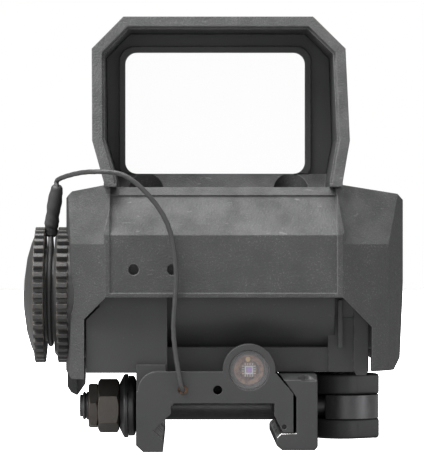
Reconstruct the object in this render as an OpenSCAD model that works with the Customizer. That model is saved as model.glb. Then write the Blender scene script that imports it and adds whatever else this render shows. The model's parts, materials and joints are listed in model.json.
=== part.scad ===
// Reflex red dot sight with a quick-release clamp for a 21.2 mm accessory rail.
// +X right as seen from the target side, -Y towards the target, +Z up.
// The origin is the centre of the roof of the rail channel.

/* [Clamp] */
// Length of the clamp base and of the rail it covers
base_len = 60; // [56:1:70]
// Thickness of the base above the channel roof
base_top = 4.9; // [4.6:0.1:5]
// Half width between the two vee grooves that grip the rail
vee_half = 10.6; // [10.5:0.05:10.7]
// Length of the moving jaw
jaw_len = 40; // [36:1:44]
// Outward travel of the moving jaw when the lever is open
jaw_travel = 1.8; // [1.2:0.1:2]
// Height of the cross bolt's axis
bolt_z = -1.5; // [-1.6:0.05:-1.4]
// Radius of the cross bolt's shank
bolt_r = 2.35; // [2.2:0.05:2.4]

/* [Lever] */
// Opening angle of the cam lever, degrees
lever_open = 120; // [100:5:120]
// Length of the lever's handle
handle_len = 36; // [30:1:44]

/* [Battery tube] */
// Height of the tube's axis
tube_z = 17.7; // [17.4:0.1:18]
// Outer radius of the battery tube
tube_r = 10.8; // [10.6:0.1:11]
// Radius of the battery, size AA
cell_r = 7.25; // [7:0.05:7.3]
// Tip radius of the cap's knurl
cap_r = 11.5; // [11.2:0.1:11.8]
// Number of teeth on the cap and on the brightness ring
teeth = 40; // [32:2:48]

/* [Shell] */
// Thickness of the armour shell
wall = 2.1; // [1.9:0.1:2.3]
// Height of the top of the hood
hood_top = 64.7; // [63:0.1:66]
// Lean of the hood's front plane from the vertical, degrees
lean = 15; // [13:0.5:17]
// Length of the shell from front to rear
shell_len = 90; // [88:1:92]

/* [Window] */
// Width of the clear window
window_w = 31; // [29:0.5:31.5]
// Height of the clear window
window_h = 20.9; // [19:0.1:21]

/* [Hidden] */
$fn = 48;

front_y = -base_len / 2;        // front plane of the base and of the shell's panel
rear_y = front_y + shell_len;
fit = 0.05;                     // radial clearance of running fits

// Clamp
bolt_y = front_y + jaw_len / 2;
jaw_x = 16.5;                   // outer face of the closed jaw
pivot_x = 22.3;                 // lever pivot
pin_r = 2;
eye_z = [bolt_z - 2, bolt_z + 2];
ear_z = [-6.9, 4.0];
cam_gap = 0.12;                 // between the closed cam and the jaw
cam_closed = pivot_x - jaw_x - cam_gap;
cam_open = cam_closed - jaw_travel;
cam_side = 5.6;
guide_y = [bolt_y - 14, bolt_y + 14];
guide_z = 2.2;
guide_r = 1.25;
screw_xy = [for (x = [-4.2, 5.8], y = [-20, 20]) [x, y]];
screw_seat = 1.9;               // height of the seats of the base screws
corner_at = [-9.9, 1.94];       // rounded corner of the front plate, in X and Z
corner_r = 3.3;
relief_half = 3;                // half length of the roof's relief over the cross bolt

// Sensor in the front plate
sensor_x = 5.2;
sensor_z = 5.45;
sensor_boss_r = 4.35;
glass_r = 3.33;
sensor_board_r = 2.66;
tether_x = -5.8;
cord_hole_r = 0.75;
cord_hole_z = 2.2;

// Battery tube, along X
tube_y = front_y + 15.5;
bore_r = cell_r + 0.25;
spigot_r = 8.05;
neck_r = 9;
neck_end = -27.3;
block_x = -21.9;                // left face of the metal body
tube_x = [-8.4, 19.6];
tube_end = 27.4;
plug_r = 6;
cap_groove_r = 7.9;
cap_face = -29.1;
ring_x = [-27.4, -25.1];

// Lens and light path
ledge_z = 35.85;
frame_y = [-8.5, -5];
window_c = [-0.2, 48.9];
beam_tilt = 20.8;
emitter_at = [0.5, 43.5, 28.6];
deck_y = 40;

// ---------- helpers ----------

function unit(v) = v / norm(v);
function left_of(v) = [-v.y, v.x];

// Moves the sides of a counter-clockwise outline inwards by d.
function inset(p, d) = [for (i = [0:len(p) - 1])
    let (n1 = left_of(unit(p[i] - p[(i + len(p) - 1) % len(p)])),
         n2 = left_of(unit(p[(i + 1) % len(p)] - p[i])))
    p[i] + (n1 + n2) * d / (1 + n1 * n2)];

// An outline in X and Z, drawn out along Y between two values.
module along_y(y0, y1) translate([0, y1, 0]) rotate([90, 0, 0]) linear_extrude(y1 - y0) children();

// An outline in Y and Z, drawn out along X between two values.
module along_x(x0, x1) translate([x0, 0, 0]) rotate([90, 0, 90]) linear_extrude(x1 - x0) children();

// A box from its lowest to its highest corner.
module block(lo, hi) translate(lo) cube(hi - lo);

module rod_x(r, x0, x1, y, z) translate([x0, y, z]) rotate([0, 90, 0]) cylinder(r = r, h = x1 - x0);
module rod_y(r, y0, y1, x, z) translate([x, y0, z]) rotate([-90, 0, 0]) cylinder(r = r, h = y1 - y0);
module rod_z(r, z0, z1, x, y) translate([x, y, z0]) cylinder(r = r, h = z1 - z0);

// A solid of revolution about the battery tube's axis, from [x, radius] points.
module turned(p, y = tube_y, z = tube_z)
    translate([0, y, z]) rotate([0, 90, 0]) rotate_extrude($fn = 96) polygon([for (q = p) [q[1], q[0]]]);

module ring(r, wire) rotate_extrude($fn = 64) translate([r, 0]) circle(r = wire, $fn = 24);

// ---------- shell ----------

slope = tan(lean);
knee_z = 27.8;                  // where the panel starts to lean back
body_front = [[-24.3, 3.8], [29.6, 5.3], [30.8, 7.2], [31.5, 20], [31.5, 33.8], [30.4, 34.8], [20.1, 36.3],
    [-18.1, 36.3], [-24.4, 35.2], [-25.5, 34.1], [-25.5, 5]];
body_plan = [[-18.6, front_y], [20.7, front_y], [28.6, front_y + 5], [31.5, front_y + 12],
    [31.5, rear_y - 24], [27, rear_y], [-21, rear_y], [-25.5, rear_y - 24],
    [-25.5, front_y + 12], [-24.5, front_y + 5]];
body_side = [[front_y, -10], [rear_y + 1, -10], [rear_y, 30.5], [deck_y + 4, 40],
    [front_y + 4.4, 40], [front_y + 3.8, ledge_z], [front_y + 1.8, 34.5], [front_y, knee_z]];
hood_front = [[-18.9, 33.6], [20.8, 33.6], [20.8, 36.6], [22.1, 43.6], [21.6, 59.2],
    [16.2, hood_top], [-15.8, hood_top], [-21.1, 59.2], [-20.9, 43.6], [-18.9, 36.6]];
hood_side = [[front_y + 2, 34.3], [18, 34.3], [18, 36.8], [-2, hood_top + 1],
    [front_y + (hood_top + 1 - knee_z) * slope, hood_top + 1],
    [front_y + (34.5 - knee_z) * slope, 34.5]];
hood_hole = [for (p = inset(hood_front, wall)) [p.x, p.y < 40 ? max(p.y, ledge_z) : p.y]];
step_depth = 0.9;
step_wall = wall - 0.4;
hood_step = [for (p = inset(hood_front, step_wall)) [p.x, p.y < 40 ? max(p.y, ledge_z + 0.5) : p.y]];
hood_mouth = [[hood_side[5].x - 1, 30], [hood_side[5].x + step_depth - 4.5 * slope, 30],
    [hood_side[4].x + step_depth, hood_top + 1], [hood_side[4].x - 1, hood_top + 1]];
notch = [[-22.2, -11], [25.7, -11], [25.7, 12.5], [20.7, 17.5], [-18.5, 17.5], [-22.2, 13.8]];
trough = [[-4.9, 34.2], [deck_y, 28], [deck_y + 3, 34], [deck_y + 3, 50], [-4.9, 50]];
trough_x = [-14.5, 15.5];
panel_x = [-17.9, 19.8];        // front panel between its two upright ridges
panel_depth = 0.25;
panel_lean = 33;
panel_cut = [[front_y - 1, 18.2], [front_y + panel_depth, 18.2], [front_y + panel_depth, knee_z],
    [front_y + panel_depth + (34.5 - knee_z) * tan(panel_lean), 34.5],
    [front_y + 6.6, ledge_z], [front_y - 1, ledge_z]];
panel_lip = [[front_y + 4.25, 34.5], [front_y + 5.3, 34.3], [front_y + 7.2, 35.5],
    [front_y + 7.2, ledge_z], [front_y + 6.2, ledge_z]];
skirt_front = [[-23.9, 0.4], [-23.9, 5], [-25.5, 5], [-25.5, 1.9], [-24.9, 0.9]];
skirt_side = [[-13, 5], [-11, 0], [29, 0], [34, 5]];
shoulder_knee = 26.3;
shoulder_cut = [[-1, shoulder_knee], [0, shoulder_knee], [3.6, 37], [-1, 37]];
shoulders = [[body_plan[1], body_plan[2], 1], [body_plan[0], body_plan[9], -1]];
pocket_x = [-12.1, 12.8];
pocket_y = -11.85;
pocket_z = 34.5;                // seat of the shell screws
panel_holes = [-13.9, -7.5];
panel_hole_r = 0.9;
panel_hole_z = 22.1;
ring_slot_r = cap_r + 0.25;     // round the brightness ring
adjuster_hole_r = 3.2;
beam_hole_r = 3.3;
foot_x = [-16.4, 17.8];

// The shell's lower part, with every side moved inwards by t. The hollow runs out below and behind.
module body_solid(t) {
    low = t > 0 ? -12 : 0;
    back = t > 0 ? 6 : 0;
    intersection() {
        along_y(front_y - 1, rear_y + 2)
            polygon([for (p = inset(body_front, t)) [p.x, p.y < 10 ? p.y + low : p.y]]);
        translate([0, 0, -10]) linear_extrude(60)
            polygon([for (p = inset(body_plan, t)) [p.x, p.y > rear_y - 5 ? p.y + back : p.y]]);
        along_x(-40, 40)
            polygon([for (p = inset(body_side, t)) [p.x > rear_y - 5 ? p.x + back : p.x, p.y]]);
    }
}

// The leaning faces of the front, cut into the panel and both shoulders, and grown by t.
module front_cuts(t) {
    along_x(panel_x[0] - t, panel_x[1] + t) polygon(inset(panel_cut, -t));
    for (s = shoulders) translate([s[0].x, s[0].y, 0])
        rotate(atan2(s[1].y - s[0].y, (s[1].x - s[0].x) * s[2]) * s[2])
            along_x(s[2] > 0 ? 0.3 - t : -20, s[2] > 0 ? 20 : t - 0.3) polygon(inset(shoulder_cut, -t));
}

// Shallow panel with upright ribs left standing in it, pressed into a side wall.
module side_panel(x0, x1) {
    difference() {
        along_x(x0, x1) polygon([[3, 11], [31, 11], [33.5, 13.5], [33.5, 26], [29, 30.5],
            [1, 30.5], [-1, 28.5], [-1, 15]]);
        for (y = [5 : 5 : 30]) block([x0 - 1, y, 9], [x1 + 1, y + 1.6, 32]);
    }
}

module armor_shell() {
    color("dimgray") difference() {
        union() {
            difference() {
                body_solid(0);
                front_cuts(0);
                difference() {
                    body_solid(wall + 0.1);
                    front_cuts(wall);
                    along_x(trough_x[0] - wall, trough_x[1] + wall)
                        polygon(inset(trough, -wall));
                }
                along_y(front_y - 1, front_y + 16) polygon(notch);
                along_x(trough_x[0], trough_x[1]) polygon(trough);
                along_y(front_y - 1, hood_side[1].x) polygon(hood_hole);
            }
            difference() {
                intersection() {
                    along_y(front_y - 1, 30) polygon(hood_front);
                    along_x(-40, 40) polygon(hood_side);
                }
                along_y(front_y - 1, 30) polygon(hood_hole);
                translate([-40, -40, 20]) cube([80, 80, ledge_z - 20]);
                // step along the inner edge of the hood's mouth
                intersection() {
                    along_y(front_y - 1, 30) polygon(hood_step);
                    along_x(-40, 40) polygon(hood_mouth);
                }
            }
            // lip along the top of the leaning panel
            along_x(panel_x[0], panel_x[1]) polygon(panel_lip);
            // skirt hanging from the left wall
            intersection() {
                along_y(-13, 34) polygon(skirt_front);
                along_x(-30, -20) polygon(skirt_side);
            }
            // ramp in front of the window
            along_x(-19, 20) polygon([[-11.6, ledge_z - 1], [-8.6, ledge_z - 1],
                [-8.6, 38.4], [-9, 38.4], [-11.6, ledge_z]]);
        }
        // slot for the foot of the lens frame
        block([foot_x[0], frame_y[0] - 0.05, 30], [foot_x[1], frame_y[1] + 0.05, ledge_z + 0.1]);
        // screw pockets
        for (x = pocket_x) {
            rod_z(3, ledge_z, 45, x, pocket_y);
            rod_z(2.5, pocket_z, 45, x, pocket_y);
            rod_z(1.3, 30, 45, x, pocket_y);
        }
        // two holes in the front panel
        for (x = panel_holes) rod_y(panel_hole_r, front_y - 1, front_y + 1.4, x, panel_hole_z);
        // neck and brightness ring
        rod_x(11, -26, block_x, tube_y, tube_z);
        rod_x(ring_slot_r, -26, ring_x[1] + 0.3, tube_y, tube_z);
        side_panel(-26, -24.9);
        side_panel(30.9, 32);
        block([-10, -15.5, hood_top - 0.5], [10.5, -5.5, hood_top + 1]);
        // adjusters
        rod_z(adjuster_hole_r, 30, 45, elevation_xy[0], elevation_xy[1]);
        rod_x(adjuster_hole_r, 27, 33, windage_yz[0], windage_yz[1]);
        // light aperture in the rear wall of the trough
        beam_frame() rod_y(beam_hole_r, -6, 3, 0, 0);
    }
}

// ---------- metal body ----------

elevation_xy = [0.5, 50.5];
windage_yz = [45, 24.5];
floor_z = [base_top, 8.4];
column_z = 33.6;
bridge_z = 31.4;
web_y = -22.6;                  // front of the web under the tube

// Frame of the light source: -Y points along the beam to the window's centre.
module beam_frame() translate(emitter_at) rotate([-beam_tilt, 0, 0]) children();

module housing_body() {
    block([tube_x[0] - 1, web_y, floor_z[0]], [25, 54, floor_z[1]]);
    block([block_x, -26, floor_z[0]], [tube_x[0], 54, floor_z[1]]);
    block([block_x, -26, floor_z[0]], [tube_x[0], -3.5, 30.5]);
    rod_x(tube_r, tube_x[0] + 0.8, tube_x[1], tube_y, tube_z);
    rod_x(tube_r - 0.8, tube_x[0] - 1, tube_x[1], tube_y, tube_z);
    rod_x(9.2, tube_x[1] - 1, tube_end, tube_y, tube_z);
    // web under the tube
    block([tube_x[0] - 1, web_y, floor_z[0]], [tube_x[1], -9, 9]);
    block([tube_x[1] - 1, -23, floor_z[0]], [25, -9, 14]);
    // ribs beside the tube
    along_y(-23.6, -15) polygon([[23.3, 4.35], [24.9, 4.35], [25.3, 5.2], [25.3, 17],
        [22.9, 17], [22.9, 5.2]]);
    block([20.2, -24.6, 9], [20.9, -15, 17]);
    // bridge that carries the window
    block([-18, -9.5, 8], [19, -4, bridge_z]);
    for (x = pocket_x) rod_z(3, 20, column_z, x, pocket_y);
    // electronics bay
    block([block_x, -4.5, 8], [25, 2, 20]);
    block([block_x, 1, 8], [block_x + 2, 54, 20]);
    block([23, 1, 8], [25, 54, 20]);
    for (p = board_posts) rod_z(2.2, 8, board_z[0], p[0], p[1]);
    for (p = cover_posts) rod_y(2.4, 46, 54, p[0], p[1]);
    // bracket for the light source
    block([-11.5, 40, 8], [12.5, 54, 12]);
    intersection() {
        beam_frame() block([-10, 7.3, -26], [10, 10, 5]);
        block([-20, 0, 8], [20, 57, 40]);
    }
    intersection() {
        beam_frame() block([-10, -1.5, -26], [10, 10, -7.2]);
        block([-20, 0, 8], [20, 57, 40]);
    }
    beam_frame() block([-13.5, 1, -9], [-11.5, 10, 3]);
    beam_frame() block([-13.5, 7.3, -9], [-9, 10, 3]);
    beam_frame() block([-13.5, 1, -9.5], [-9, 10, -7.2]);
}

module housing() {
    color([0.16, 0.16, 0.17]) difference() {
        union() {
            intersection() {
                housing_body();
                union() {
                    body_solid(wall + 0.3);
                    along_y(front_y - 1, front_y + 15.5) polygon(inset(notch, 0.3));
                }
            }
            rod_x(neck_r, neck_end, block_x + 1, tube_y, tube_z);
        }
        front_cuts(wall + 0.4);
        // battery bore, wider at the mouth for the cap and at the far end for the plug
        rod_x(bore_r, -30, cell_x[1] + 0.05, tube_y, tube_z);
        rod_x(plug_r, 0, 30, tube_y, tube_z);
        rod_x(spigot_r + fit, -30, -18.5, tube_y, tube_z);
        // clearance round the sensor boss
        rod_y(5.4, -27, -23.8, sensor_x, sensor_z);
        // detents of the brightness ring
        for (a = detent_angles) detent_at(a) rod_x(0.85, -23, -17.9, 0, 0);
        for (p = screw_xy) rod_z(1.25, 3, 8.1, p[0], p[1]);
        for (x = pocket_x) rod_z(1.2, 25.5, 40, x, pocket_y);
        for (p = board_posts) rod_z(0.8, 9.5, 20, p[0], p[1]);
        for (p = cover_posts) rod_y(0.8, 47, 60, p[0], p[1]);
        // cable way from the bay to the tube
        rod_y(1.6, -12, 4, 4, 16);
    }
}

board_z = [12, 13.6];
board_posts = [for (x = [-16, 19], y = [8, 31.5]) [x, y]];
cover_posts = [for (x = [-16.6, 19.8], z = [12, 17.4]) [x, z]];

module rear_cover() {
    color([0.2, 0.2, 0.21]) difference() {
        union() {
            intersection() {
                body_solid(wall + 0.3);
                block([-22.6, 56.6, 4.4], [28.4, 59.2, 31]);
            }
            block([block_x + 2.2, 54.2, 8.7], [22.8, 57, 19.8]);
        }
        for (p = cover_posts) {
            rod_y(1.1, 50, 60, p[0], p[1]);
            rod_y(2.1, 57.8, 60, p[0], p[1]);
        }
        for (z = [10.5 : 2.4 : 20.5]) block([-12, 58.6, z], [14, 60, z + 1]);
    }
}

// A pan head with a cross recess and its shank, pointing along -Z from the head's seat.
module screw(head_r, head_h, shank_r, shank_h) {
    difference() {
        union() {
            cylinder(r = head_r, h = head_h);
            translate([0, 0, -shank_h]) cylinder(r = shank_r, h = shank_h + 0.1);
        }
        for (a = [0, 90]) rotate(a)
            block([-head_r * 0.6, -head_r * 0.12, head_h * 0.45],
                [head_r * 0.6, head_r * 0.12, head_h * 1.45]);
    }
}

module cover_screws() {
    color("gray") for (p = cover_posts)
        translate([p[0], 57.8, p[1]]) rotate([-90, 0, 0]) screw(1.9, 1.2, 0.78, 9);
}

module shell_screws() {
    color("gray") for (x = pocket_x) translate([x, pocket_y, pocket_z]) screw(2.3, 1.2, 1.15, 8.5);
}

module board_screws() {
    color("silver") for (p = board_posts) translate([p[0], p[1], board_z[1]]) screw(1.5, 0.9, 0.78, 3.9);
}

module base_screws() {
    color("gray") for (p = screw_xy)
        translate([p[0], p[1], screw_seat]) rotate([180, 0, 0]) screw(2.1, 1.6, 1.2, 6);
}

// ---------- window ----------

// The lens frame fills the hood's inner outline down to the ledge.
frame_outline = [for (p = inset(hood_front, wall + 0.06)) [p.x, p.y < 40 ? max(p.y, ledge_z + 0.05) : p.y]];

module rounded_rect(w, h, r) {
    square([w - 2 * r, h], center = true);
    square([w, h - 2 * r], center = true);
    for (x = [-1, 1], y = [-1, 1]) translate([x * (w / 2 - r), y * (h / 2 - r)]) circle(r = r);
}

module lens_frame() {
    color([0.12, 0.12, 0.13]) difference() {
        union() {
            along_y(frame_y[0], frame_y[1]) polygon(frame_outline);
            block([foot_x[0], frame_y[0], bridge_z + 0.05], [foot_x[1], frame_y[1], 37]);
            // raised rim round the window
            along_y(frame_y[0] - 0.7, frame_y[0] + 1) translate(window_c)
                rounded_rect(window_w + 2, window_h + 2, 2.6);
        }
        along_y(frame_y[0] - 2, frame_y[1] + 1) translate(window_c) rounded_rect(window_w, window_h, 2);
        along_y(frame_y[0] + 0.8, frame_y[1] + 1) translate(window_c)
            rounded_rect(window_w + 1.62, window_h + 1.62, 2.4);
        // the sill in front stays level with the top of the ramp
        block([-30, frame_y[0] - 1, 30], [30, frame_y[0], 38.45]);
    }
}

module objective_lens() {
    color([0.75, 0.8, 0.85, 0.35]) along_y(frame_y[0] + 0.85, frame_y[1] - 0.2)
        translate(window_c) rounded_rect(window_w + 1.6, window_h + 1.6, 2.4);
}

// ---------- battery and its cap ----------

cell_x = [-24.6, 25.9];

module battery_cell() {
    color("goldenrod") turned([[cell_x[0], 0], [cell_x[0], 5], [cell_x[0] + 0.4, cell_r - 0.3],
        [cell_x[0] + 0.7, cell_r], [cell_x[1] - 2, cell_r], [cell_x[1] - 1.4, cell_r - 0.7],
        [cell_x[1] - 1.2, 2.7], [cell_x[1], 2.6], [cell_x[1], 0]]);
}

module battery_contact() {
    color("gold") turned([[cell_x[1] + 0.02, 0], [cell_x[1] + 0.02, 3.2], [cell_x[1] + 0.2, plug_r - 0.05],
        [cell_x[1] + 0.45, plug_r - 0.05], [cell_x[1] + 0.45, 0]]);
}

module tube_plug() {
    color([0.3, 0.3, 0.31]) difference() {
        turned([[cell_x[1] + 0.5, 0], [cell_x[1] + 0.5, plug_r - 0.02], [tube_end, plug_r - 0.02],
            [tube_end, 0]]);
        for (s = [-1, 1]) rod_x(0.8, tube_end - 0.6, 30, tube_y + s * 3.4, tube_z);
    }
}

module battery_spring() {
    color("silver") difference() {
        rod_x(4.2, -25.55, cell_x[0] - 0.05, tube_y, tube_z);
        rod_x(3.4, -26, -23, tube_y, tube_z);
    }
}

// Teeth of a knurl: flat-topped wedges round the tube's axis.
module knurl(r, depth, x0, x1, n) {
    for (i = [0 : n - 1]) translate([x0, tube_y, tube_z]) rotate([i * 360 / n, 0, 0]) rotate([90, 0, 90])
        linear_extrude(x1 - x0) polygon([[-0.55, -r + depth + 0.5], [0.55, -r + depth + 0.5],
            [0.55, -r + depth], [0.34, -r], [-0.34, -r], [-0.55, -r + depth]]);
}

module battery_cap() {
    color([0.25, 0.25, 0.26]) {
        difference() {
            turned([[-32.8, 0], [-32.7, 3], [-32.2, 6.4], [-31.5, 8.8], [-31, 10],
                [-30.9, cap_r - 0.9], [cap_face, cap_r - 0.9], [cap_face, cap_groove_r],
                [neck_end - 0.05, cap_groove_r], [neck_end - 0.05, spigot_r], [-26.95, spigot_r],
                [-26.95, 7.2], [-26.05, 7.2], [-26.05, spigot_r], [-19, spigot_r],
                [-19, bore_r - 0.05], [-25.6, bore_r - 0.05], [-25.6, 0]]);
            // coin slot in the dome
            block([-33, tube_y - 0.9, tube_z - 7], [-31.6, tube_y + 0.9, tube_z + 7]);
        }
        knurl(cap_r, 0.9, -30.8, cap_face - 0.1, teeth);
    }
}

module cap_o_ring() {
    color("black") translate([-26.5, tube_y, tube_z]) rotate([0, 90, 0]) ring(7.64, 0.43);
}

module tether_loop() {
    color([0.2, 0.2, 0.2]) translate([-28.25, tube_y, tube_z]) rotate([0, 90, 0]) ring(8.38, 0.42);
}

sleeve_foot = [-28.25, tube_y - 0.5, tube_z + 10];
sleeve_waist = [-28.0, tube_y - 1.7, tube_z + 12.9];
sleeve_head = [-27.0, tube_y - 4, 36.2];

module tether_sleeve() {
    color([0.2, 0.2, 0.21]) hull() {
        translate(sleeve_foot) sphere(r = 0.75, $fn = 24);
        translate(sleeve_waist) sphere(r = 1.15, $fn = 24);
        translate(sleeve_head - [0.2, -0.3, 1]) sphere(r = 1.15, $fn = 24);
        translate(sleeve_head) sphere(r = 0.75, $fn = 24);
    }
}

// The cord leaves the sleeve, goes over the left shoulder and down the front panel.
cord_r = 0.42;
cord_bends = [sleeve_head + [0.4, -0.4, 1.15], [-21, -28.6, 38.3], [-14.6, -31.3, 37.2],
    [-8.7, -31.2, 30.5], [-6.9, -30.9, 22], [-7.3, -30.7, 12], [-6.3, -30.8, 4.2],
    [-5.8, -30.5, 2.35], [-5.8, -29.5, 2.2], [-5.8, -27.4, 2.2]];
cord_last = len(cord_bends) - 1;
cord_ends = concat([2 * cord_bends[0] - cord_bends[1]], cord_bends,
    [2 * cord_bends[cord_last] - cord_bends[cord_last - 1]]);

// Catmull-Rom curve from b to c, with a and d beside them.
function between(a, b, c, d, t) =
    (2 * b + (c - a) * t + (2 * a - 5 * b + 4 * c - d) * t * t + (3 * b - a - 3 * c + d) * t * t * t) / 2;
cord_path = concat([for (i = [1 : cord_last], t = [0 : 0.25 : 0.75])
    between(cord_ends[i - 1], cord_ends[i], cord_ends[i + 1], cord_ends[i + 2], t)],
    [cord_bends[cord_last]]);

module tether_cord() {
    color([0.22, 0.22, 0.22]) for (i = [0 : len(cord_path) - 2]) hull() {
        translate(cord_path[i]) sphere(r = cord_r, $fn = 10);
        translate(cord_path[i + 1]) sphere(r = cord_r, $fn = 10);
    }
}

module tether_ferrule() {
    color([0.7, 0.42, 0.26]) difference() {
        rod_y(cord_hole_r - 0.01, front_y + 0.5, front_y + 2.4, tether_x, cord_hole_z);
        rod_y(cord_r + 0.04, front_y, front_y + 3, tether_x, cord_hole_z);
    }
}

// ---------- brightness ring ----------

detent_angles = [-90, 90];
detent_r = 9.95;
module detent_at(a) translate([0, tube_y, tube_z]) rotate([a, 0, 0]) translate([0, detent_r, 0]) children();

module selector_ring() {
    color([0.2, 0.2, 0.21]) {
        difference() {
            turned([[ring_x[0], neck_r + fit], [ring_x[0], cap_r - 1.4], [ring_x[0] + 0.5, cap_r - 0.9],
                [ring_x[1], cap_r - 0.9], [ring_x[1], 10.75], [-22.05, 10.75], [-22.05, neck_r + fit]]);
            // track of the two balls
            translate([-21.75, tube_y, tube_z]) rotate([0, 90, 0]) ring(detent_r, 0.75);
        }
        knurl(cap_r, 0.9, ring_x[0] + 0.5, ring_x[1], teeth);
    }
}

module selector_detents() {
    color("silver") for (a = detent_angles) detent_at(a) {
        translate([-21.7, 0, 0]) sphere(r = 0.65, $fn = 32);
        rod_x(0.6, -20.9, -18.1, 0, 0);
    }
}

// ---------- clamp ----------

roof_x = [-7.75, 9.4];          // sides of the channel's roof
base_front = [[-13.45, base_top], [-13.45, -6.9], [-12.3, -8], [-9.1, -8], [-9.1, -6.2],
    [-vee_half - 0.1, -4.55], [roof_x[0], -1.75], [roof_x[0], 0], [roof_x[1], 0],
    [roof_x[1], -2.05], [10.7, -4.65],
    [10.9, -4.85], [12.5, -4.85], [12.5, 1.57], [9.7, base_top]];

module rail_base() {
    color([0.2, 0.2, 0.21]) difference() {
        union() {
            along_y(front_y, -front_y) polygon(base_front);
            // raised front plate with its rounded corner, and the step behind it
            along_y(front_y, front_y + 2) {
                translate([corner_at.x, 0]) square([roof_x[1] - corner_at.x, corner_at.y + corner_r]);
                translate([corner_at.x - corner_r, 0]) square([corner_r + 0.9, corner_at.y]);
                translate(corner_at) circle(r = corner_r);
            }
            block([-13.45, front_y + 2, 0], [-8.6, front_y + 3.8, 6.3]);
            rod_y(sensor_boss_r, front_y, front_y + 3.9, sensor_x, sensor_z);
        }
        // clear corner beside the front plate's rounding
        along_y(front_y - 1, front_y + 2) difference() {
            translate([-14, corner_at.y]) square([corner_at.x + 14, 8]);
            translate(corner_at) circle(r = corner_r);
            translate([corner_at.x - corner_r, 0]) square([corner_r, corner_at.y]);
        }
        rod_y(glass_r + 0.02, front_y - 1, front_y + 1.6, sensor_x, sensor_z);
        rod_y(sensor_board_r + 0.04, front_y, front_y + 3.2, sensor_x, sensor_z);
        for (x = [tether_x, 0]) rod_y(cord_hole_r, front_y - 1, front_y + 6, x, cord_hole_z);
        rod_x(bolt_r + fit, -20, 20, bolt_y, bolt_z);
        // relief in the channel's roof over the cross bolt
        block([roof_x[0], bolt_y - relief_half, -1], [roof_x[1], bolt_y + relief_half, 1]);
        for (y = guide_y) {
            rod_x(guide_r, 4, 20, y, guide_z);
            rod_x(2, 8, 20, y, guide_z);
        }
        for (p = screw_xy) {
            rod_z(1.3, -1, 6, p[0], p[1]);
            rod_z(2.2, -1, screw_seat, p[0], p[1]);
        }
        // dimple on the end of the right wall
        rod_y(0.4, front_y - 1, front_y + 0.5, 11, -3.9);
    }
}

module clamp_jaw() {
    color([0.22, 0.22, 0.23]) difference() {
        along_y(front_y, front_y + jaw_len) polygon([[13, -4.95], [10.5, -4.95], [9.74, -5.65],
            [9.74, -6.9], [10.7, -7.7], [16, -7.7], [jaw_x, -7.2], [jaw_x, 4.7],
            [10.35, 4.7], [13, 1.0]]);
        // sloping front of the top edge
        along_x(0, 20) polygon([[front_y - 1, 3.2], [front_y, 3.8], [front_y + 2.4, 4.8],
            [front_y + 2.4, 6], [front_y - 1, 6]]);
        translate([jaw_x, front_y, 0]) rotate(-52) translate([-3, -2, 3.7]) cube([6, 2, 3]);
        rod_x(bolt_r + fit, 8, 20, bolt_y, bolt_z);
        for (y = guide_y) rod_x(guide_r + fit, 8, 16, y, guide_z);
    }
}

module guide_pins() {
    color("silver") for (y = guide_y) rod_x(guide_r - 0.01, 4.2, 15.9, y, guide_z);
}

module jaw_springs() {
    color("silver") for (y = guide_y) difference() {
        rod_x(1.85, 8.1, 10.5, y, guide_z);
        rod_x(1.4, 8, 12, y, guide_z);
    }
}

thread_x = [-23.4, -16.7];

module cross_bolt() {
    color([0.24, 0.24, 0.25]) difference() {
        union() {
            rod_x(bolt_r, thread_x[0] + 0.5, jaw_x - 0.1, bolt_y, bolt_z);
            rod_x(eye_z[1] - bolt_z - 0.05, 0, 20, bolt_y, bolt_z);
            rod_x(bolt_r - 0.5, thread_x[0], 0, bolt_y, bolt_z);
            difference() {
                rod_z(cam_side - 0.1, eye_z[0], eye_z[1], pivot_x, bolt_y);
                block([10, bolt_y - 10, -10], [jaw_x + jaw_travel + 0.3, bolt_y + 10, 10]);
            }
        }
        rod_z(pin_r + fit, -10, 10, pivot_x, bolt_y);
        // thread at the nut end
        for (x = [-23 : 0.6 : -21.4]) translate([x, bolt_y, bolt_z]) rotate([0, 90, 0])
            rotate_extrude() polygon([[bolt_r + 0.1, -0.3], [bolt_r + 0.1, 0.3], [bolt_r - 0.3, 0]]);
    }
}

// Hexagon nut with both rims chamfered.
module nut(x0, x1, corner_r, turn) {
    edge = corner_r * 0.13;
    difference() {
        intersection() {
            translate([x0, bolt_y, bolt_z]) rotate([turn, 0, 0]) rotate([0, 90, 0])
                cylinder(r = corner_r, h = x1 - x0, $fn = 6);
            turned([[x0, 0], [x0, corner_r - edge], [x0 + edge * 0.6, corner_r + 0.01],
                [x1 - edge * 0.6, corner_r + 0.01], [x1, corner_r - edge], [x1, 0]], bolt_y, bolt_z);
        }
        rod_x(bolt_r + 0.01, x0 - 1, x1 + 1, bolt_y, bolt_z);
    }
}

module clamp_nut() { color([0.32, 0.27, 0.23]) nut(-20.28, -16.75, 4.62, 7); }
module jam_nut() { color([0.32, 0.27, 0.23]) nut(-21.9, -20.32, 4.1, 22); }

// Two cupped washers, rim to rim, held between the nut and the base.
module spring_washers() {
    color([0.2, 0.2, 0.2]) {
        turned([[-16.7, bolt_r + 0.05], [-16.7, 3.6], [-15.85, 5.3], [-15.7, 5.4], [-15.2, 5.4],
            [-15.2, 5.2], [-15.9, bolt_r + 0.05]], bolt_y, bolt_z);
        turned([[-13.5, bolt_r + 0.05], [-13.5, 3.6], [-14.1, 5.0], [-14.3, 5.1], [-15.1, 5.1],
            [-15.1, 4.9], [-14.4, bolt_r + 0.05]], bolt_y, bolt_z);
    }
}

// Radius of the cam at an angle from +X: it shrinks evenly over the part that meets the jaw.
function cam_radius(a) =
    a < 180 ? cam_side + max(0, a - 90) / 90 * (cam_closed - cam_side) :
    a <= 180 + lever_open ? cam_closed - jaw_travel * (a - 180) / lever_open :
    min(cam_side, cam_open / cos(a - 180 - lever_open));

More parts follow.
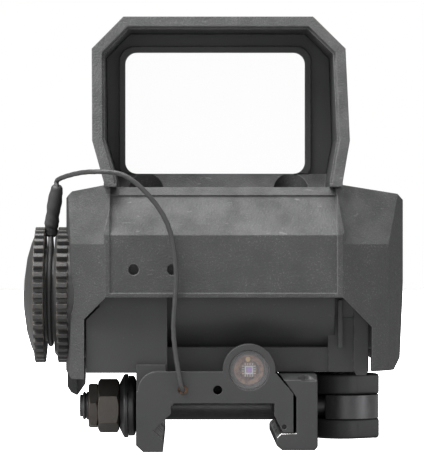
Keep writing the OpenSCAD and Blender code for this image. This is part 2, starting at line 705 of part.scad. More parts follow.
module cam_lever() {
    handle_y = bolt_y + 6.2;
    color([0.21, 0.21, 0.22]) difference() {
        union() {
            translate([pivot_x, bolt_y, ear_z[0]]) linear_extrude(ear_z[1] - ear_z[0])
                polygon([for (a = [0 : 5 : 355]) cam_radius(a) * [cos(a), sin(a)]]);
            // handle, tapering along its length, with the thumb tab turned outwards
            intersection() {
                translate([0, 0, ear_z[0]]) linear_extrude(ear_z[1] - ear_z[0])
                    polygon([[17.2, bolt_y], [17.2, handle_y + handle_len - 5],
                        [21.5, handle_y + handle_len], [26.3, handle_y + handle_len + 1.2],
                        [27, handle_y + handle_len - 0.8], [22.8, handle_y + handle_len - 5],
                        [21.6, handle_y + 12], [26.8, bolt_y + 3], [27.4, bolt_y]]);
                along_x(10, 35) polygon([[bolt_y - 1, ear_z[0]], [handle_y, ear_z[0]],
                    [handle_y + handle_len, ear_z[0] + 1.6], [handle_y + handle_len + 3, ear_z[0] + 3],
                    [handle_y + handle_len + 3, ear_z[1] - 3], [handle_y + handle_len, ear_z[1] - 1.6],
                    [handle_y, ear_z[1]], [bolt_y - 1, ear_z[1]]]);
            }
        }
        // fork round the bolt's eye
        rod_z(cam_side + 0.5, eye_z[0] - 0.1, eye_z[1] + 0.1, pivot_x, bolt_y);
        block([0, bolt_y - 6.5, eye_z[0] - 0.1], [pivot_x, bolt_y + 3, eye_z[1] + 0.1]);
        rod_z(pin_r + fit, -10, 10, pivot_x, bolt_y);
        rod_z(3, ear_z[1] - 0.6, 10, pivot_x, bolt_y);
        // finger grooves on the handle
        for (i = [0 : 4]) rod_z(0.7, -10, 10, 22.3 + i * 0.02, handle_y + handle_len - 18 + i * 2.6);
    }
}

module lever_pin() {
    color("silver") {
        rod_z(pin_r, ear_z[0] + 0.2, ear_z[1] - 0.4, pivot_x, bolt_y);
        difference() {
            rod_z(2.8, ear_z[1] - 0.58, ear_z[1], pivot_x, bolt_y);
            rod_z(0.9, ear_z[1] - 0.3, 10, pivot_x, bolt_y);
        }
    }
}

// ---------- light sensor ----------

module sensor_window() {
    color([0.8, 0.8, 0.82, 0.4]) rod_y(glass_r, front_y + 0.1, front_y + 1.1, sensor_x, sensor_z);
}

module sensor_seal() {
    color("black") translate([sensor_x, front_y + 1.37, sensor_z]) rotate([90, 0, 0]) ring(3.05, 0.22);
}

module sensor_board() {
    color([0.66, 0.42, 0.3]) {
        rod_y(sensor_board_r, front_y + 2.3, front_y + 2.9, sensor_x, sensor_z);
        rod_y(0.42, front_y + 2.1, front_y + 2.4, sensor_x - 0.15, sensor_z + 1.75);
    }
}

module sensor_chip() {
    color([0.75, 0.7, 0.8]) translate([sensor_x, 0, sensor_z]) {
        block([-0.75, front_y + 1.7, -0.75], [0.75, front_y + 2.28, 0.75]);
        for (z = [-0.6 : 0.4 : 0.6], s = [-1, 1])
            block([s * 0.95 - 0.18, front_y + 2.05, z - 0.1], [s * 0.95 + 0.18, front_y + 2.28, z + 0.1]);
        for (x = [-0.6 : 0.4 : 0.6], s = [-1, 1])
            block([x - 0.1, front_y + 2.05, s * 0.95 - 0.18], [x + 0.1, front_y + 2.28, s * 0.95 + 0.18]);
    }
}

// ---------- electronics and light source ----------

module circuit_board() {
    color([0.1, 0.35, 0.2]) difference() {
        union() {
            block([-18.8, 4.6, board_z[0]], [21.8, 35, board_z[1]]);
            block([-6, 12, board_z[1] - 0.1], [3, 21, board_z[1] + 1.2]);
            block([8, 15, board_z[1] - 0.1], [13, 20, board_z[1] + 1.6]);
            for (i = [0 : 5])
                block([-15 + i * 3, 27, board_z[1] - 0.1], [-13.6 + i * 3, 29.6, board_z[1] + 0.8]);
        }
        for (p = board_posts) rod_z(0.85, 0, 30, p[0], p[1]);
    }
}

module emitter_carriage() {
    color([0.55, 0.55, 0.57]) beam_frame() difference() {
        block([-8, 1, -7], [8, 7.1, 5.4]);
        block([-4.06, 0, -5.2], [4.06, 8, 4.3]);
    }
}

module emitter_holder() {
    color([0.3, 0.3, 0.32]) beam_frame() difference() {
        block([-4, 1.2, -4.6], [4, 6.8, 3.7]);
        rod_y(2.55, 0, 4, 0, 0);
        rod_y(1.2, 3, 8, 0, 0);
    }
}

module emitter_diode() {
    color([0.8, 0.2, 0.15]) beam_frame() {
        rod_y(2.5, 2.6, 4, 0, 0);
        rod_y(1.5, 1.6, 2.7, 0, 0);
    }
}

module emitter_window() {
    color([0.8, 0.5, 0.5, 0.4]) beam_frame() rod_y(3.25, -0.6, 0.6, 0, 0);
}

module return_spring() {
    color("silver") beam_frame() difference() {
        rod_x(1.8, -11.4, -8.7, 4, 0);
        rod_x(1.4, -12, -8, 4, 0);
    }
}

// A slotted adjuster with detent marks round its head, pointing along +Z.
module adjuster(h) {
    difference() {
        union() {
            cylinder(r = 3.1, h = 1.6);
            translate([0, 0, -h]) cylinder(r = 1.4, h = h + 0.1);
        }
        translate([-2.4, -0.4, 0.9]) cube([4.8, 0.8, 2]);
        for (a = [0 : 30 : 330]) rotate(a) translate([3.2, 0, -1]) cylinder(r = 0.28, h = 4);
    }
}

module windage_screw() {
    color([0.4, 0.4, 0.41])
        translate([29.8, windage_yz[0], windage_yz[1]]) rotate([0, 90, 0]) adjuster(20.4);
}

module elevation_screw() {
    color([0.4, 0.4, 0.41]) translate([elevation_xy[0], elevation_xy[1], 33.2]) adjuster(0.7);
}

armor_shell();
housing();
rear_cover();
cover_screws();
lens_frame();
objective_lens();
shell_screws();
battery_cell();
battery_contact();
tube_plug();
battery_spring();
battery_cap();
cap_o_ring();
tether_loop();
tether_sleeve();
tether_cord();
tether_ferrule();
selector_ring();
selector_detents();
rail_base();
base_screws();
clamp_jaw();
guide_pins();
jaw_springs();
cross_bolt();
clamp_nut();
jam_nut();
spring_washers();
cam_lever();
lever_pin();
sensor_window();
sensor_seal();
sensor_board();
sensor_chip();
circuit_board();
board_screws();
emitter_carriage();
emitter_holder();
emitter_diode();
emitter_window();
return_spring();
windage_screw();
elevation_screw();
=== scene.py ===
import json
import math

import bpy
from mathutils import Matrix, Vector


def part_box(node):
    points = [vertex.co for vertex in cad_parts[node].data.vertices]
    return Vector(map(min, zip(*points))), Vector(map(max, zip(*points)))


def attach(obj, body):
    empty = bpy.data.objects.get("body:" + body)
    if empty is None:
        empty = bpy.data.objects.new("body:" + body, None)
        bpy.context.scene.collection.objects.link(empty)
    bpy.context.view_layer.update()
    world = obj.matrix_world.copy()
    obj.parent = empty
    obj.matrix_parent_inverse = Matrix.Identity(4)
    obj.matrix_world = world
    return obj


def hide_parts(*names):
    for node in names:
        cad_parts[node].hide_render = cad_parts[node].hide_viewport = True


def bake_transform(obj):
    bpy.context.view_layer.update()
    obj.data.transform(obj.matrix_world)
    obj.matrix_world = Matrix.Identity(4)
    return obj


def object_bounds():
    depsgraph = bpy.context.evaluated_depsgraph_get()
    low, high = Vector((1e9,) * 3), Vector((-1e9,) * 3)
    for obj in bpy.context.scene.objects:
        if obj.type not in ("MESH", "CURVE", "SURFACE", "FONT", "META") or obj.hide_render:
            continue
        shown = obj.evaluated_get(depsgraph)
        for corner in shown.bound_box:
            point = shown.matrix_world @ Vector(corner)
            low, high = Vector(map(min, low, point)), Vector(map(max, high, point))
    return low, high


MM = 0.001

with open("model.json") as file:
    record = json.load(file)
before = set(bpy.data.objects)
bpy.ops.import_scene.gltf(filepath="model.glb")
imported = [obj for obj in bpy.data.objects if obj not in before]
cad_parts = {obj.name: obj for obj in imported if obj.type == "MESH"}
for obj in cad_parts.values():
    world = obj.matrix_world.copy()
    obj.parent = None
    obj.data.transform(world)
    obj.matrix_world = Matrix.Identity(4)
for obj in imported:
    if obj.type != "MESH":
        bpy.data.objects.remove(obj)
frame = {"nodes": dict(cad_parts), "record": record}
cad_low, cad_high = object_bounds()
nodes = frame["nodes"]
record = frame["record"]


# ---------- places taken from the frame ----------

def centre(node):
    low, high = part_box(node)
    return (low + high) / 2


def size(node):
    low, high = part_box(node)
    return high - low


base_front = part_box("rail_base")[0].y
sensor_centre = centre("sensor_window")


# ---------- material kit ----------

class Surface:
    """A Principled material under construction, with textures measured in millimetres."""

    def __init__(self, name):
        self.material = bpy.data.materials.new(name)
        self.material.use_nodes = True
        self.tree = self.material.node_tree
        self.tree.nodes.clear()
        output = self.tree.nodes.new("ShaderNodeOutputMaterial")
        self.shader = self.tree.nodes.new("ShaderNodeBsdfPrincipled")
        self.tree.links.new(self.shader.outputs[0], output.inputs[0])
        place = self.tree.nodes.new("ShaderNodeTexCoord")
        self.place = self.vector("SCALE", place.outputs["Object"], scale=1 / MM)

    def set(self, **values):
        for name, value in values.items():
            title = name.replace("_", " ").title().replace("Ior", "IOR")
            self.feed(self.shader.inputs[title], value)

    def feed(self, socket, value):
        """Links a socket, or sets a number or a colour, whichever value is."""
        if isinstance(value, bpy.types.NodeSocket):
            self.tree.links.new(value, socket)
        elif isinstance(value, tuple) and len(value) == 3 and socket.type == "RGBA":
            socket.default_value = (*value, 1)
        else:
            socket.default_value = value

    def node(self, kind, **settings):
        made = self.tree.nodes.new(kind)
        for name, value in settings.items():
            setattr(made, name, value)
        return made

    def vector(self, operation, a, b=None, scale=None):
        made = self.node("ShaderNodeVectorMath", operation=operation)
        self.feed(made.inputs[0], a)
        if b is not None:
            self.feed(made.inputs[1], b)
        if scale is not None:
            made.inputs["Scale"].default_value = scale
        return made.outputs["Value" if operation == "DOT_PRODUCT" else "Vector"]

    def math(self, operation, a, b=0.5):
        made = self.node("ShaderNodeMath", operation=operation)
        self.feed(made.inputs[0], a)
        self.feed(made.inputs[1], b)
        return made.outputs[0]

    def noise(self, grain, detail=3.0, stretch=(1, 1, 1), roughness=0.5):
        """Noise from 0 to 1 whose blobs are about grain millimetres wide."""
        made = self.node("ShaderNodeTexNoise")
        self.feed(made.inputs["Vector"], self.vector("MULTIPLY", self.place, stretch))
        made.inputs["Scale"].default_value = 1 / grain
        made.inputs["Detail"].default_value = detail
        made.inputs["Roughness"].default_value = roughness
        return made.outputs["Fac"]

    def spread(self, value, low, high, to_low=0.0, to_high=1.0):
        """Maps value from low..high to to_low..to_high, with both ends held."""
        made = self.node("ShaderNodeMapRange")
        names = ("Value", "From Min", "From Max", "To Min", "To Max")
        for name, number in zip(names, (value, low, high, to_low, to_high)):
            self.feed(made.inputs[name], number)
        return made.outputs[0]

    def blend(self, share, a, b):
        made = self.node("ShaderNodeMix", data_type="RGBA")
        self.feed(made.inputs[0], share)
        self.feed(made.inputs[6], a)
        self.feed(made.inputs[7], b)
        return made.outputs[2]

    def rounded(self, radius):
        """The surface normal, rounded over the edges by radius millimetres."""
        made = self.node("ShaderNodeBevel", samples=6)
        made.inputs["Radius"].default_value = radius * MM
        return made.outputs[0]

    def edges(self, radius, low=0.02, high=0.2):
        """1 on the edges and 0 on flat ground."""
        true_normal = self.node("ShaderNodeNewGeometry").outputs["True Normal"]
        flat = self.vector("DOT_PRODUCT", self.rounded(radius), true_normal)
        return self.spread(self.math("SUBTRACT", 1.0, flat), low, high)

    def bump(self, height, depth, normal=None):
        """A normal pushed in and out by height (0 to 1) times depth millimetres."""
        made = self.node("ShaderNodeBump")
        made.inputs["Distance"].default_value = depth * MM
        self.feed(made.inputs["Height"], height)
        if normal is not None:
            self.feed(made.inputs["Normal"], normal)
        return made.outputs[0]

    def axis(self, letter):
        """One coordinate of the point, in millimetres."""
        made = self.node("ShaderNodeSeparateXYZ")
        self.feed(made.inputs[0], self.place)
        return made.outputs["XYZ".index(letter)]

    def facing(self, direction):
        """How much the surface faces a direction: 1 straight at it, -1 away."""
        normal = self.node("ShaderNodeNewGeometry").outputs["Normal"]
        return self.vector("DOT_PRODUCT", normal, direction)


def grey(value, warmth=0.0):
    """A dark neutral; warmth shifts it from bluish to brownish."""
    return (value * (1 + warmth), value, value * (1 - warmth))


# ---------- finishes ----------

def moulded_polymer(name):
    """Glass-filled nylon: a fine spark-eroded grain, pale scuffs, and paler edges that are partly wear
    and partly painted edge highlight.
    """
    s = Surface(name)
    grain = s.noise(0.3, detail=2)
    cloud = s.noise(7, detail=4)
    speck = s.spread(s.noise(0.22, detail=1), 0.58, 0.72)
    patch = s.spread(s.noise(4, detail=4), 0.35, 0.65, 0.25, 1.0)
    up = s.spread(s.facing((0, -0.35, 0.93)), 0.2, 0.8)
    base = s.blend(cloud, grey(0.044, -0.02), grey(0.058, -0.005))
    dusty = s.blend(s.math("MULTIPLY", speck, s.math("MULTIPLY", patch, 0.38)), base, grey(0.22))
    film = s.blend(s.math("MULTIPLY", up, s.math("MULTIPLY", patch, 0.5)), dusty, grey(0.16, 0.0))
    scratch = s.spread(s.noise(1.0, detail=2, stretch=(0.5, 1.0, 2.0)), 0.68, 0.74)
    scratched = s.blend(s.math("MULTIPLY", scratch, s.math("MULTIPLY", up, 0.3)), film, grey(0.3))
    # Paler edges: patchy wear plus a painted highlight line that lightens every edge by at least 40 %.
    paler_edges = s.math("MULTIPLY", s.edges(0.3), s.spread(s.noise(0.6), 0.3, 0.6, 0.4, 1.0))
    s.set(base_color=s.blend(paler_edges, scratched, grey(0.17)),
          roughness=s.spread(grain, 0.3, 0.7, 0.5, 0.72),
          specular_ior_level=0.4,
          normal=s.bump(grain, 0.09, s.bump(cloud, 0.06, s.rounded(0.3))))
    return s.material


def anodised(name, shade, edge_shade, roughness=0.46, bare=None):
    """Blasted and anodised aluminium; bare(surface) may give a mask of worn-off colour."""
    s = Surface(name)
    blast = s.noise(0.12, detail=2)
    cloud = s.noise(5, detail=4)
    base = s.blend(cloud, grey(shade * 0.85, -0.03), grey(shade * 1.2, 0.0))
    dust = s.spread(s.noise(0.5, detail=1), 0.69, 0.74)
    dusted = s.blend(s.math("MULTIPLY", dust, 0.25), base, grey(0.12, 0.06))
    # Paler edges: wear on the mount and body; on the lens frame the paler edge colour is a painted
    # highlight.
    paler_edges = s.math("MULTIPLY", s.edges(0.18), s.spread(s.noise(0.9), 0.35, 0.62))
    colour = s.blend(paler_edges, dusted, grey(edge_shade, 0.02))
    rough = s.spread(cloud, 0.3, 0.7, roughness - 0.05, roughness + 0.1)
    metal = 0.0
    if bare:
        mask = bare(s)
        colour = s.blend(mask, colour, grey(0.72, 0.02))
        rough = s.spread(mask, 0, 1, roughness, 0.32)
        metal = mask
    s.set(base_color=colour, roughness=rough, metallic=metal,
          normal=s.bump(blast, 0.012, s.rounded(0.2)))
    return s.material


def worn_lips(s):
    """Bare metal on the slopes of the vee grooves that grip the rail."""
    low = s.spread(s.axis("Z"), -6.5, -6.1)
    high = s.spread(s.axis("Z"), -4.3, -4.7)
    upward = s.spread(s.facing((0, 0, 1)), 0.2, 0.4)
    broken = s.spread(s.noise(1.3, detail=4), 0.36, 0.5)
    return s.math("MULTIPLY", s.math("MULTIPLY", low, high), s.math("MULTIPLY", upward, broken))


def knurled(name, shade):
    """Anodised knob with brownish dust in its knurl and rubbed crests."""
    s = Surface(name)
    blast = s.noise(0.15, detail=2)
    cloud = s.noise(3, detail=4)
    base = s.blend(cloud, grey(shade * 0.8), grey(shade * 1.25))
    paler_edges = s.math("MULTIPLY", s.edges(0.2), s.spread(s.noise(0.7), 0.38, 0.66))
    grime = s.spread(s.noise(1.6, detail=4), 0.52, 0.7)
    dirty = s.blend(s.math("MULTIPLY", grime, 0.45), base, (0.075, 0.062, 0.05))
    s.set(base_color=s.blend(paler_edges, dirty, (0.24, 0.2, 0.165)),
          roughness=s.spread(cloud, 0.3, 0.7, 0.36, 0.5),
          normal=s.bump(blast, 0.015, s.rounded(0.18)))
    return s.material


def steel(name, shade, tint, edge, roughness, metallic=0.9):
    """Turned steel with an oxide or phosphate coat, worn through at the edges."""
    s = Surface(name)
    lines = s.noise(0.16, detail=3, stretch=(1, 1, 0.3))
    cloud = s.noise(1.4, detail=4)
    base = s.blend(cloud, tuple(shade * 0.7 * c for c in tint), tuple(shade * 1.3 * c for c in tint))
    paler_edges = s.math("MULTIPLY", s.edges(0.2), s.spread(s.noise(0.5), 0.36, 0.6))
    s.set(base_color=s.blend(paler_edges, base, edge), metallic=metallic,
          roughness=s.spread(cloud, 0.3, 0.7, roughness - 0.08, roughness + 0.1),
          normal=s.bump(lines, 0.02, s.rounded(0.15)))
    return s.material


def glass(name, tint, alpha, coat):
    """Clear glass with a faint coating tint and finger smears in its gloss."""
    s = Surface(name)
    smear = s.noise(6, detail=5, stretch=(1, 1, 2))
    s.set(base_color=s.blend(smear, tint, coat), alpha=alpha, ior=1.5,
          roughness=s.spread(smear, 0.4, 0.8, 0.02, 0.14))
    return s.material


def rubber(name, shade, roughness=0.6):
    s = Surface(name)
    skin = s.noise(0.25, detail=3)
    cloud = s.noise(2.5, detail=3)
    s.set(base_color=s.blend(cloud, grey(shade * 0.75), grey(shade * 1.3)),
          roughness=s.spread(skin, 0.3, 0.7, roughness - 0.12, roughness + 0.1),
          normal=s.bump(skin, 0.03))
    return s.material


def plated(name, colour, dark, roughness=0.35):
    """Bare or plated soft metal with tarnish."""
    s = Surface(name)
    tarnish = s.spread(s.noise(0.8, detail=4), 0.4, 0.7)
    s.set(base_color=s.blend(tarnish, colour, dark), metallic=1.0,
          roughness=s.spread(tarnish, 0, 1, roughness, roughness + 0.25),
          normal=s.bump(s.noise(0.12), 0.01, s.rounded(0.1)))
    return s.material


def board(name, mask_colour, track_colour):
    """Circuit board: solder mask over a grid of tracks, with the weave of the laminate."""
    s = Surface(name)
    tracks = s.node("ShaderNodeTexBrick", offset=0.5, squash=0.6)
    s.feed(tracks.inputs["Vector"], s.vector("MULTIPLY", s.place, (0.7, 0.7, 0.7)))
    tracks.inputs["Mortar Size"].default_value = 0.03
    s.feed(tracks.inputs["Scale"], 1.0)
    weave = s.noise(0.3, stretch=(1, 4, 1))
    ground = s.blend(weave, mask_colour, tuple(c * 1.3 for c in mask_colour))
    s.set(base_color=s.blend(s.math("SUBTRACT", 1.0, tracks.outputs["Fac"]), track_colour, ground),
          roughness=0.35, normal=s.bump(weave, 0.02))
    return s.material


def sensor_board(name):
    """Round board with an annulus of bare copper."""
    s = Surface(name)
    away = s.vector("SUBTRACT", s.place, tuple(c / MM for c in sensor_centre))
    flat = s.vector("MULTIPLY", away, (1, 0, 1))
    reach = s.node("ShaderNodeVectorMath", operation="LENGTH")
    s.feed(reach.inputs[0], flat)
    radius = reach.outputs["Value"]
    patchy = s.spread(s.noise(0.7, detail=3), 0.42, 0.58)
    copper = s.blend(patchy, (0.2, 0.125, 0.095), (0.4, 0.24, 0.17))
    gap = s.spread(s.math("ABSOLUTE", s.math("SUBTRACT", radius, 1.5)), 0.22, 0.12)
    broken = s.spread(s.noise(0.5), 0.4, 0.5)
    etched = s.blend(s.math("MULTIPLY", gap, broken), copper, (0.07, 0.06, 0.06))
    via = s.spread(s.axis("Y"), base_front / MM + 2.25, base_front / MM + 2.2)
    gilded = s.blend(via, etched, (0.85, 0.62, 0.34))
    rim = s.spread(radius, 2.4, 2.5)
    s.set(base_color=s.blend(rim, gilded, grey(0.09)), metallic=0.3, roughness=0.4,
          normal=s.bump(s.noise(0.3), 0.02, s.rounded(0.1)))
    return s.material


def sensor_chip(name):
    """Silver leads round a lilac die."""
    s = Surface(name)
    x = s.math("ABSOLUTE", s.math("SUBTRACT", s.axis("X"), sensor_centre.x / MM))
    z = s.math("ABSOLUTE", s.math("SUBTRACT", s.axis("Z"), sensor_centre.z / MM))
    reach = s.math("MAXIMUM", x, z)
    die = s.spread(reach, 0.42, 0.36)
    frame_line = s.spread(s.math("ABSOLUTE", s.math("SUBTRACT", reach, 0.58)), 0.16, 0.1)
    body = s.blend(frame_line, (0.12, 0.11, 0.13), (0.78, 0.76, 0.78))
    pads = s.spread(reach, 0.74, 0.78)
    shown = s.blend(pads, body, (0.75, 0.74, 0.72))
    s.set(base_color=s.blend(die, shown, (0.42, 0.26, 0.66)), roughness=0.3,
          normal=s.bump(s.noise(0.15), 0.01, s.rounded(0.06)))
    return s.material


def cell_label(name):
    """Plain battery sleeve: a dark band over a copper-coloured one."""
    s = Surface(name)
    low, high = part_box("battery_cell")
    band = s.spread(s.axis("X"), (high.x / MM) - 15, (high.x / MM) - 14.8)
    s.set(base_color=s.blend(band, grey(0.02), (0.5, 0.24, 0.08)), roughness=0.3,
          metallic=s.spread(band, 0, 1, 0.1, 0.8), normal=s.bump(s.noise(1.2), 0.02))
    return s.material


FINISHES = {
    "armor_polymer": moulded_polymer,
    "black_anodised": lambda name: anodised(name, 0.045, 0.14, 0.42),
    "mount_anodised": lambda name: anodised(name, 0.042, 0.13, 0.5, worn_lips),
    "knob_anodised": lambda name: knurled(name, 0.045),
    "black_oxide_steel": lambda name: steel(name, 0.13, (1.08, 0.99, 0.9), (0.36, 0.26, 0.19),
                                            0.42, 0.6),
    "dark_steel": lambda name: steel(name, 0.12, (1.0, 1.0, 1.03), (0.3, 0.29, 0.28), 0.38, 0.8),
    "bright_steel": lambda name: steel(name, 0.5, (1.0, 0.99, 0.96), (0.7, 0.7, 0.69), 0.28, 1.0),
    "coated_glass": lambda name: glass(name, (0.9, 0.94, 0.97), 0.015, (0.97, 0.9, 0.86)),
    "sensor_glass": lambda name: glass(name, (0.4, 0.4, 0.43), 0.12, (0.6, 0.58, 0.58)),
    "red_glass": lambda name: glass(name, (0.5, 0.06, 0.05), 0.5, (0.7, 0.2, 0.12)),
    "cord_jacket": lambda name: rubber(name, 0.05, 0.5),
    "black_rubber": lambda name: rubber(name, 0.02),
    "copper": lambda name: plated(name, (0.42, 0.23, 0.14), (0.16, 0.1, 0.07), 0.5),
    "gold_plate": lambda name: plated(name, (0.85, 0.62, 0.3), (0.6, 0.42, 0.22), 0.25),
    "board_green": lambda name: board(name, (0.012, 0.075, 0.035), (0.03, 0.16, 0.07)),
    # Lens frame: black anodised whose paler edge colour 0.2 is a painted highlight on the rim's edges.
    "lens_frame_painted_edge_highlight": lambda name: anodised(name, 0.045, 0.2, 0.4),
    "board_copper": sensor_board,
    "chip_silver": sensor_chip,
    "cell_sleeve": cell_label,
    "diode_red": lambda name: glass(name, (0.6, 0.04, 0.03), 0.8, (0.8, 0.12, 0.08)),
}
finish = {name: make(name) for name, make in FINISHES.items()}


def dress(piece, slot):
    piece.data.materials.clear()
    piece.data.materials.append(finish[slot])


def adopt(piece, slot, body, stands_for=None):
    """Gives a piece made here its finish and its body, and hides the CAD node that it stands for."""
    dress(piece, slot)
    if stands_for:
        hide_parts(stands_for)
    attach(piece, body)


for part in record["subparts"]:
    dress(nodes[part["node"]], part["material_slot"])
# The lens frame gets the finish with the painted edge highlight.
dress(nodes["lens_frame"], "lens_frame_painted_edge_highlight")


# ---------- softened edges on the CAD parts ----------

SOFT_EDGES = {  # width of the rounding, in millimetres
    "clamp_jaw": 0.2,
    "cam_lever": 0.35,
}


def soften(node, width):
    """Breaks a part's edges by width millimetres with modifiers; its own mesh stays as it is."""
    piece = nodes[node]
    weld = piece.modifiers.new("weld", "WELD")
    weld.merge_threshold = 0.002 * MM
    bevel = piece.modifiers.new("bevel", "BEVEL")
    bevel.width = width * MM
    bevel.segments = 2
    bevel.limit_method = "ANGLE"
    bevel.angle_limit = math.radians(30)
    bevel.use_clamp_overlap = False
    bevel.harden_normals = False
    shade = piece.modifiers.new("shade", "WEIGHTED_NORMAL")
    shade.keep_sharp = False


for node_name, edge_width in SOFT_EDGES.items():
    soften(node_name, edge_width)


# ---------- wire and cord ----------

def spline(points, steps):
    """Points along a smooth curve through the given ones."""
    ends = [points[0] * 2 - points[1], *points, points[-1] * 2 - points[-2]]
    path = []
    for i in range(1, len(ends) - 2):
        a, b, c, d = ends[i - 1:i + 3]
        for k in range(steps):
            t = k / steps
            path.append(0.5 * (2 * b + (c - a) * t + (2 * a - 5 * b + 4 * c - d) * t * t
                               + (3 * b - a - 3 * c + d) * t ** 3))
    return [*path, points[-1]]


def sweep(name, path, radius, sides=16, closed=False):
    """A tube along a path; radius(i, angle) gives its radius, so lobes and bumps are real shape."""
    vertices = []
    side = (path[1] - path[0]).orthogonal().normalized()
    last = len(path) - 1
    for i, point in enumerate(path):
        if closed:
            along = path[(i + 1) % len(path)] - path[i - 1]
        else:
            along = path[min(i + 1, last)] - path[max(i - 1, 0)]
        along.normalize()
        side = (side - along * side.dot(along)).normalized()
        across = along.cross(side)
        for k in range(sides):
            angle = 2 * math.pi * k / sides
            spoke = side * math.cos(angle) + across * math.sin(angle)
            vertices.append(point + spoke * radius(i, angle))
    rows = len(path) if closed else last
    faces = []
    for i in range(rows):
        near, far = i * sides, (i + 1) % len(path) * sides
        for k in range(sides):
            turn = (k + 1) % sides
            faces.append((near + k, near + turn, far + turn, far + k))
    if not closed:
        faces.append(tuple(reversed(range(sides))))
        faces.append(tuple(range(last * sides, (last + 1) * sides)))
    mesh = bpy.data.meshes.new(name)
    mesh.from_pydata(vertices, [], faces)
    mesh.polygons.foreach_set("use_smooth", [True] * len(faces))
    mesh.update()
    piece = bpy.data.objects.new(name, mesh)
    bpy.context.scene.collection.objects.link(piece)
    return piece


def strands(radius, count=3, depth=0.12, pitch=14):
    """Radius of a cord laid from twisted strands."""
    def lobed(i, angle):
        twist = angle + i * 2 * math.pi / pitch
        return radius * (1 - depth * (1 - abs(math.cos(count / 2 * twist))))

    return lobed


def coil(start, end, radius, wire, turns, name):
    """A compression spring from start to end with closed, flattened end turns."""
    steps_a_turn = 24
    end_share = 0.12  # share of the wire that lies flat at each end
    axis = end - start
    length = axis.length
    axis.normalize()
    side = axis.orthogonal().normalized()
    across = axis.cross(side)
    steps = int(turns * steps_a_turn)
    path = []
    for i in range(steps + 1):
        share = i / steps
        eased = min(max((share - end_share) / (1 - 2 * end_share), 0), 1)
        angle = share * turns * 2 * math.pi
        rise = wire + (length - 2 * wire) * eased
        path.append(start + axis * rise + (side * math.cos(angle) + across * math.sin(angle)) * radius)
    return sweep(name, path, lambda i, angle: wire, sides=10)


# The sleeve stands over the groove between the knobs, and the cord runs from it over the shoulder.
sleeve_low, sleeve_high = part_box("tether_sleeve")
cord_radius = 0.42 * MM
loop_centre = centre("tether_loop")
loop_radius = size("tether_loop").z / 2 - cord_radius
ferrule = centre("tether_ferrule")
sleeve_radius = 1.18 * MM
sleeve_tip = 0.75 * MM
sleeve_foot = Vector((loop_centre.x, sleeve_high.y - sleeve_tip, sleeve_low.z + sleeve_tip))
sleeve_head = Vector((sleeve_high.x - 0.95 * MM, sleeve_low.y + 0.9 * MM, sleeve_high.z - sleeve_tip))
hole = Vector((ferrule.x, base_front, ferrule.z))

CORD_BENDS = [  # millimetres from the cord's hole: across, back and up
    (-20.8, 11.1, 35.15),
    (-15.2, 1.4, 36.1),
    (-8.8, -1.3, 35.0),
    (-2.9, -1.2, 28.3),
    (-1.1, -0.9, 19.8),
    (-1.5, -0.7, 9.8),
    (-0.5, -0.8, 2.0),
    (0.0, -0.5, 0.15),
    (0.0, 0.5, 0.0),
    (0.0, 2.6, 0.0),
]


def make_cord():
    """Twisted steel cord in a thin jacket."""
    bends = [hole + Vector(bend) * MM for bend in CORD_BENDS]
    path = spline([sleeve_head - Vector((0.1, 0.1, 0.5)) * MM, *bends], 22)
    cord = sweep("tether_cord_strands", path, strands(cord_radius), sides=18)
    dress(cord, "cord_jacket")
    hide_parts("tether_cord")
    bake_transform(cord)


def make_sleeve():
    """Shrink sleeve over the crimp: a tube with the crimp's swell and small wrinkles."""
    waist = sleeve_foot.lerp(sleeve_head, 0.35) + Vector((-0.15, 0, 0)) * MM
    path = spline([sleeve_foot, waist, sleeve_head], 24)
    last = len(path) - 1
    end_width = 0.62  # width of both ends, as a share of the middle's
    taper = 0.11      # share of the length over which an end fills out
    smooth = 0.05     # share of the length at each end that has no wrinkles

    def radius(i, angle):
        share = i / last
        ends = min(share, 1 - share)
        neck = end_width + (1 - end_width) * min(1, ends / taper) ** 0.5
        swell = 0.05 * math.sin(share * 19) + 0.025 * math.sin(share * 41 + 2 * math.cos(angle))
        return sleeve_radius * (neck + (swell if ends > smooth else 0))

    sleeve = sweep("tether_sleeve_shrink", path, radius, sides=28)
    adopt(sleeve, "cord_jacket", "tether", "tether_sleeve")


def make_loop():
    """The cord's loop in the groove: round the knob, then both ends rise into the sleeve."""
    opening = 26  # degrees from the top to each end of the round stretch
    steps = 96
    path = []
    for k in range(steps + 1):
        angle = math.radians(opening + (360 - 2 * opening) * k / steps)
        path.append(loop_centre + Vector((0, math.sin(angle), math.cos(angle))) * loop_radius)
    tip = sleeve_foot + Vector((0, 0, 0.3)) * MM
    beside_tip = 0.35 * MM
    for end, turn in ((0, 1), (-1, -1)):
        corner = path[end]
        beside = Vector((tip.x, tip.y + turn * beside_tip, tip.z))
        rise = [corner.lerp(beside, share) for share in (0.25, 0.5, 0.75, 1.0)]
        path = [*reversed(rise), *path] if end == 0 else [*path, *rise]
    wire = sweep("tether_loop_wire", path, strands(cord_radius, depth=0.1), sides=14)
    adopt(wire, "cord_jacket", "tether", "tether_loop")


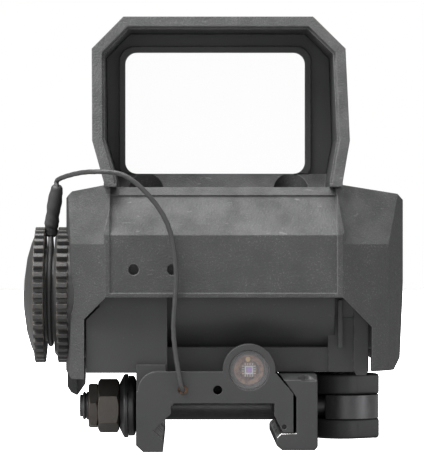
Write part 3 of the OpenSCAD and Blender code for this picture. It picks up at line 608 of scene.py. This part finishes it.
def make_coils():
    """Coil springs in place of the plain tubes of the CAD model."""
    wire = 0.22 * MM
    fine_wire = 0.2 * MM

    low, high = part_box("battery_spring")
    middle = (low + high) / 2
    reach = Vector((high.x - low.x, 0, 0)) / 2
    spring = coil(middle - reach, middle + reach, (high.z - low.z) / 2 - 0.3 * MM, wire, 2.2,
                  "battery_spring_coil")
    adopt(spring, "bright_steel", "cap", "battery_spring")

    low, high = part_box("jaw_springs")
    radius = (high.z - low.z) / 2
    middle_z = (low.z + high.z) / 2
    for number, y in enumerate((low.y + radius, high.y - radius), 1):
        spring = coil(Vector((low.x, y, middle_z)), Vector((high.x, y, middle_z)),
                      radius - 0.25 * MM, wire, 3.5, f"jaw_spring_coil_{number}")
        adopt(spring, "bright_steel", "base", "jaw_springs" if number == 1 else None)

    low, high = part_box("return_spring")
    middle = (low + high) / 2
    spring = coil(Vector((low.x, middle.y, middle.z)), Vector((high.x, middle.y, middle.z)),
                  (high.z - low.z) / 2 - fine_wire, fine_wire, 4.5, "return_spring_coil")
    adopt(spring, "bright_steel", "base", "return_spring")


make_cord()
make_sleeve()
make_loop()
make_coils()


# ---------- studio ----------

LIGHTS = [  # name, place in metres, width in metres and power in watts
    ("key", (-0.2, -0.18, 0.42), 0.3, 3.1),
    ("top", (0.05, 0.1, 0.5), 0.5, 3.2),
    ("front", (-0.1, -0.75, 0.06), 0.5, 0.5),
    ("left", (-0.45, -0.25, 0.2), 0.3, 0.9),
    ("right", (0.5, -0.3, 0.1), 0.3, 0.8),
]
SKY_FILL = 0.2      # strength of the white surroundings as a light
BACKDROP = 1.0      # their strength as the camera sees them
FLOOR_SIZE = 3
EYE = Vector((-5.4, -480, 27)) * MM  # the camera: X and Z from the origin, Y from the base's front
LENS = 222
LENS_SHIFT = (0.0573, 0.0096)


def soft_light(name, place, target, width, power):
    data = bpy.data.lights.new(name, "AREA")
    data.size = width
    data.energy = power
    lamp = bpy.data.objects.new(name, data)
    lamp.location = place
    lamp.rotation_euler = (Vector(target) - Vector(place)).to_track_quat("-Z", "Y").to_euler()
    bpy.context.scene.collection.objects.link(lamp)


def make_studio():
    middle = (cad_low + cad_high) / 2
    for name, place, width, power in LIGHTS:
        soft_light(name, place, middle, width, power)

    world = bpy.data.worlds.new("studio")
    world.use_nodes = True
    tree = world.node_tree
    background = tree.nodes["Background"]
    rays = tree.nodes.new("ShaderNodeLightPath")
    strength = tree.nodes.new("ShaderNodeMapRange")
    tree.links.new(rays.outputs["Is Camera Ray"], strength.inputs["Value"])
    strength.inputs["To Min"].default_value = SKY_FILL
    strength.inputs["To Max"].default_value = BACKDROP
    tree.links.new(strength.outputs[0], background.inputs["Strength"])
    background.inputs["Color"].default_value = (1, 1, 1, 1)
    bpy.context.scene.world = world

    under = (middle.x, middle.y, cad_low.z - 0.05 * MM)
    bpy.ops.mesh.primitive_plane_add(size=FLOOR_SIZE, location=under)
    floor = bpy.context.object
    floor.name = "floor"
    paper = bpy.data.materials.new("paper")
    paper.use_nodes = True
    sheet = paper.node_tree.nodes["Principled BSDF"].inputs
    sheet["Base Color"].default_value = (0.93, 0.93, 0.93, 1)
    sheet["Roughness"].default_value = 0.9
    sheet["Alpha"].default_value = 0.3  # keeps the shadow under the part light
    floor.data.materials.append(paper)
    floor.is_shadow_catcher = True


def make_camera():
    """A long lens half a metre in front of the sight; its shift frames the part off the axis."""
    data = bpy.data.cameras.new("camera")
    data.lens = LENS
    data.sensor_width = 36
    data.shift_x, data.shift_y = LENS_SHIFT
    data.clip_start = 0.01
    camera = bpy.data.objects.new("camera", data)
    camera.location = Vector((0, base_front, 0)) + EYE
    camera.rotation_euler = (math.radians(90), 0, 0)
    bpy.context.scene.collection.objects.link(camera)
    bpy.context.scene.camera = camera
    bpy.context.scene.view_settings.view_transform = "Standard"


make_studio()
make_camera()
